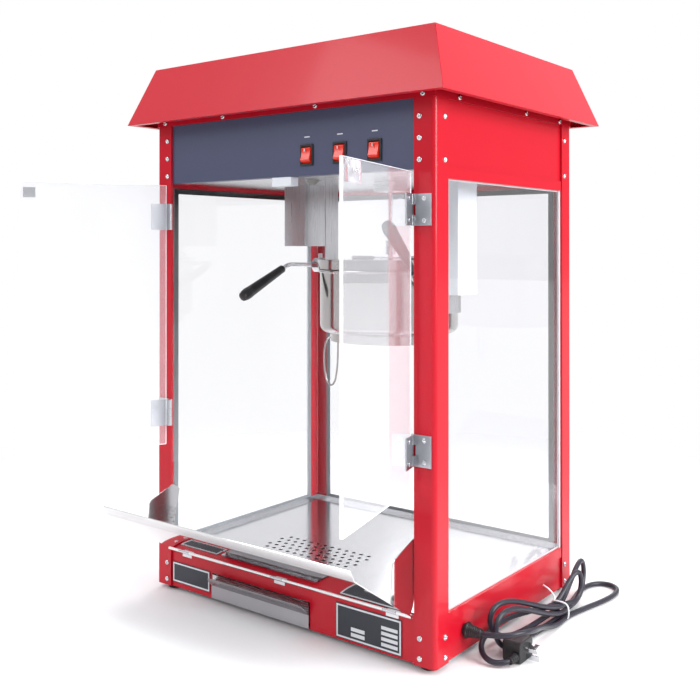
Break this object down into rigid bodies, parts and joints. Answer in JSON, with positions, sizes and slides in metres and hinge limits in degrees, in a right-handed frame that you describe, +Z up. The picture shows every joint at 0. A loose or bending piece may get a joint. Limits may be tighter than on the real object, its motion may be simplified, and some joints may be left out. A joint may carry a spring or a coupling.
{
  "type": "popcorn maker",
  "caption": "Tabletop popcorn machine: glazed red cabinet with sloping roof, hinged doors, serving flap, crumb drawer and a hanging tilting kettle.",
  "frame": {"origin": "on the standing surface, under the middle of the cabinet, between its four feet", "axes": "+Z up; the doors, flap and drawer face -Y; +X is the side that the power cord leaves"},
  "size_m": [0.6313, 0.6264, 0.77],
  "materials": {
    "red_paint": "gloss red paint",
    "slate_paint": "satin dark slate-blue paint",
    "stainless": "bright rolled stainless steel",
    "mirror_steel": "mirror stainless steel",
    "chrome": "bright chrome plate",
    "clear_pane": "clear pane",
    "rubber": "black rubber",
    "black_plastic": "black moulded plastic",
    "white_plastic": "white painted cover",
    "rocker_red": "lit red rocker",
    "plate_black": "black plate with white border",
    "bulb_glass": "warm bulb glass",
    "brass": "brass"
  },
  "bodies": {
    "cabinet": {"post_front_left": "red_paint", "post_front_right": "red_paint", "post_rear_left": "red_paint", "post_rear_right": "red_paint", "top_panel_left": "red_paint", "top_panel_right": "red_paint", "top_panel_rear": "red_paint", "base_panel_left": "red_paint", "base_panel_right": "red_paint", "base_panel_front": "red_paint", "base_panel_rear": "red_paint", "roof_shell": "red_paint", "roof_collar": "red_paint", "fascia": "slate_paint", "base_plate": "stainless", "floor_tray": "stainless", "ceiling_plate": "stainless", "hanger_cover_left": "stainless", "hanger_plates": "stainless", "gear_motor": "stainless", "frame_screws": "chrome", "hinge_post_leaves": "chrome", "hinge_pins": "chrome", "flap_hinge": "chrome", "plug_pins": "chrome", "glass_panes": "clear_pane", "rubber_feet": "rubber", "glass_seals": "rubber", "power_cord_lead": "rubber", "power_cord_tail": "rubber", "power_cord_hank": "rubber", "switch_bezels": "black_plastic", "cord_gland": "black_plastic", "plug_body": "black_plastic", "hanger_box_right": "white_plastic", "door_magnet": "white_plastic", "lamp_socket": "white_plastic", "front_plates": "plate_black", "lamp_bulb": "bulb_glass"},
    "right_door": {"door_pane_right": "clear_pane", "door_fittings_right": "chrome"},
    "left_door": {"door_pane_left": "clear_pane", "door_fittings_left": "chrome"},
    "flap": {"serving_flap": "mirror_steel"},
    "crumb_drawer": {"crumb_tray": "stainless", "drawer_pull": "mirror_steel"},
    "kettle": {"kettle_pot": "stainless", "kettle_heater": "stainless", "lid_rear": "stainless", "agitator_bush": "brass", "lid_hinge_pin": "chrome", "kettle_pivots": "stainless", "handle_rods": "chrome", "handle_grips": "black_plastic"},
    "kettle_lid": {"lid_front": "stainless"},
    "drive": {"drive_shaft": "chrome"},
    "stirrer": {"agitator": "stainless"},
    "left_rocker": {"rocker_left": "rocker_red"},
    "middle_rocker": {"rocker_middle": "rocker_red"},
    "right_rocker": {"rocker_right": "rocker_red"}
  },
  "joints": [
    {"name": "right_door_hinge", "type": "hinge", "parent": "cabinet", "child": "right_door", "pos_m": [0.2135, -0.1912, 0.4], "axis": [0, 0, 1], "range_deg": [-105, 40]},
    {"name": "left_door_hinge", "type": "hinge", "parent": "cabinet", "child": "left_door", "pos_m": [-0.2135, -0.1912, 0.4], "axis": [0, 0, -1], "range_deg": [-115, 30]},
    {"name": "flap_hinge_turn", "type": "hinge", "parent": "cabinet", "child": "flap", "pos_m": [0, -0.19, 0.0645], "axis": [-1, 0, 0], "range_deg": [0, 57]},
    {"name": "drawer_slide", "type": "slide", "parent": "cabinet", "child": "crumb_drawer", "axis": [0, -1, 0], "range_m": [0, 0.2]},
    {"name": "kettle_tilt", "type": "hinge", "parent": "cabinet", "child": "kettle", "pos_m": [0.045, 0, 0.478], "axis": [1, 0, 0], "range_deg": [0, 78]},
    {"name": "kettle_lid_hinge", "type": "hinge", "parent": "kettle", "child": "kettle_lid", "pos_m": [0.045, -0.007, 0.4901], "axis": [-1, 0, 0], "range_deg": [0, 80]},
    {"name": "drive_spin", "type": "hinge", "parent": "cabinet", "child": "drive", "pos_m": [0.045, 0, 0.55], "axis": [0, 0, 1], "continuous": true},
    {"name": "stirrer_spin", "type": "hinge", "parent": "kettle", "child": "stirrer", "pos_m": [0.045, 0, 0.45], "axis": [0, 0, 1], "continuous": true},
    {"name": "left_rocker_press", "type": "hinge", "parent": "cabinet", "child": "left_rocker", "pos_m": [0.045, -0.1818, 0.626], "axis": [1, 0, 0], "range_deg": [0, 20]},
    {"name": "middle_rocker_press", "type": "hinge", "parent": "cabinet", "child": "middle_rocker", "pos_m": [0.1, -0.1818, 0.626], "axis": [1, 0, 0], "range_deg": [0, 20]},
    {"name": "right_rocker_press", "type": "hinge", "parent": "cabinet", "child": "right_rocker", "pos_m": [0.155, -0.1818, 0.626], "axis": [1, 0, 0], "range_deg": [0, 20]}
  ],
  "couplings": [
    {"joint": "drive_spin", "follows": "stirrer_spin", "ratio": 1}
  ]
}
